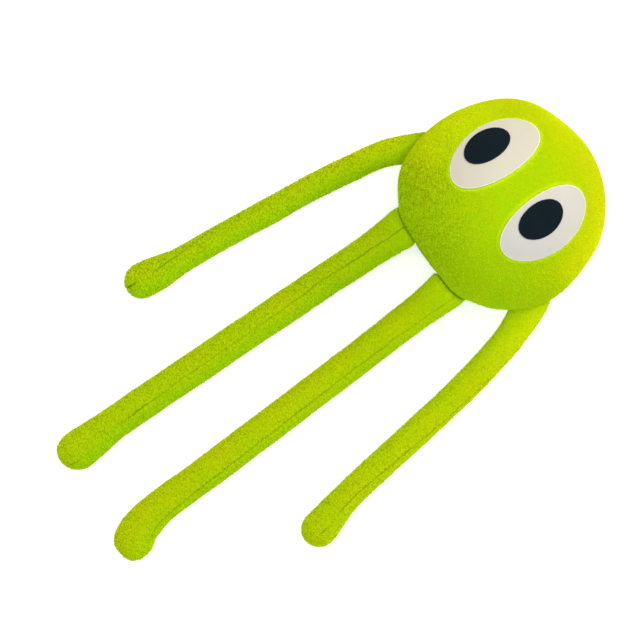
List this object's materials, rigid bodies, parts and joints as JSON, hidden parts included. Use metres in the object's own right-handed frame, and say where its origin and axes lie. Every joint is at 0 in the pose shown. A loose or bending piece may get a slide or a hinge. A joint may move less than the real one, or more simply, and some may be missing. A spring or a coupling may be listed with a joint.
{
  "type": "plush octopus pillow",
  "caption": "Stuffed lime-green octopus pillow lying on its back, with a ball head, long tubular limbs with bulb tips, and appliqued oval eyes looking to one side.",
  "frame": {"origin": "middle of the flat spot on the back of the head, where the pillow rests as it lies on its back", "axes": "+Z out of the face, +Y towards the crown of the head with the limbs towards -Y, +X to the right as the face is seen with the crown up"},
  "size_m": [0.5356, 0.9543, 0.2856],
  "materials": {
    "plush": "short-pile lime-green plush",
    "stuffing": "white polyester fibre filling",
    "eye_felt": "cream felt",
    "pupil_felt": "matte blue-black felt"
  },
  "bodies": {
    "root": {"head_front_panel": "plush", "head_back_panel": "plush", "head_stuffing": "stuffing", "left_leg_cover": "plush", "left_leg_stuffing": "stuffing", "right_leg_cover": "plush", "right_leg_stuffing": "stuffing", "left_arm_cover": "plush", "left_arm_stuffing": "stuffing", "right_arm_cover": "plush", "right_arm_stuffing": "stuffing", "left_eye_white": "eye_felt", "right_eye_white": "eye_felt", "left_pupil": "pupil_felt", "right_pupil": "pupil_felt"}
  },
  "joints": []
}
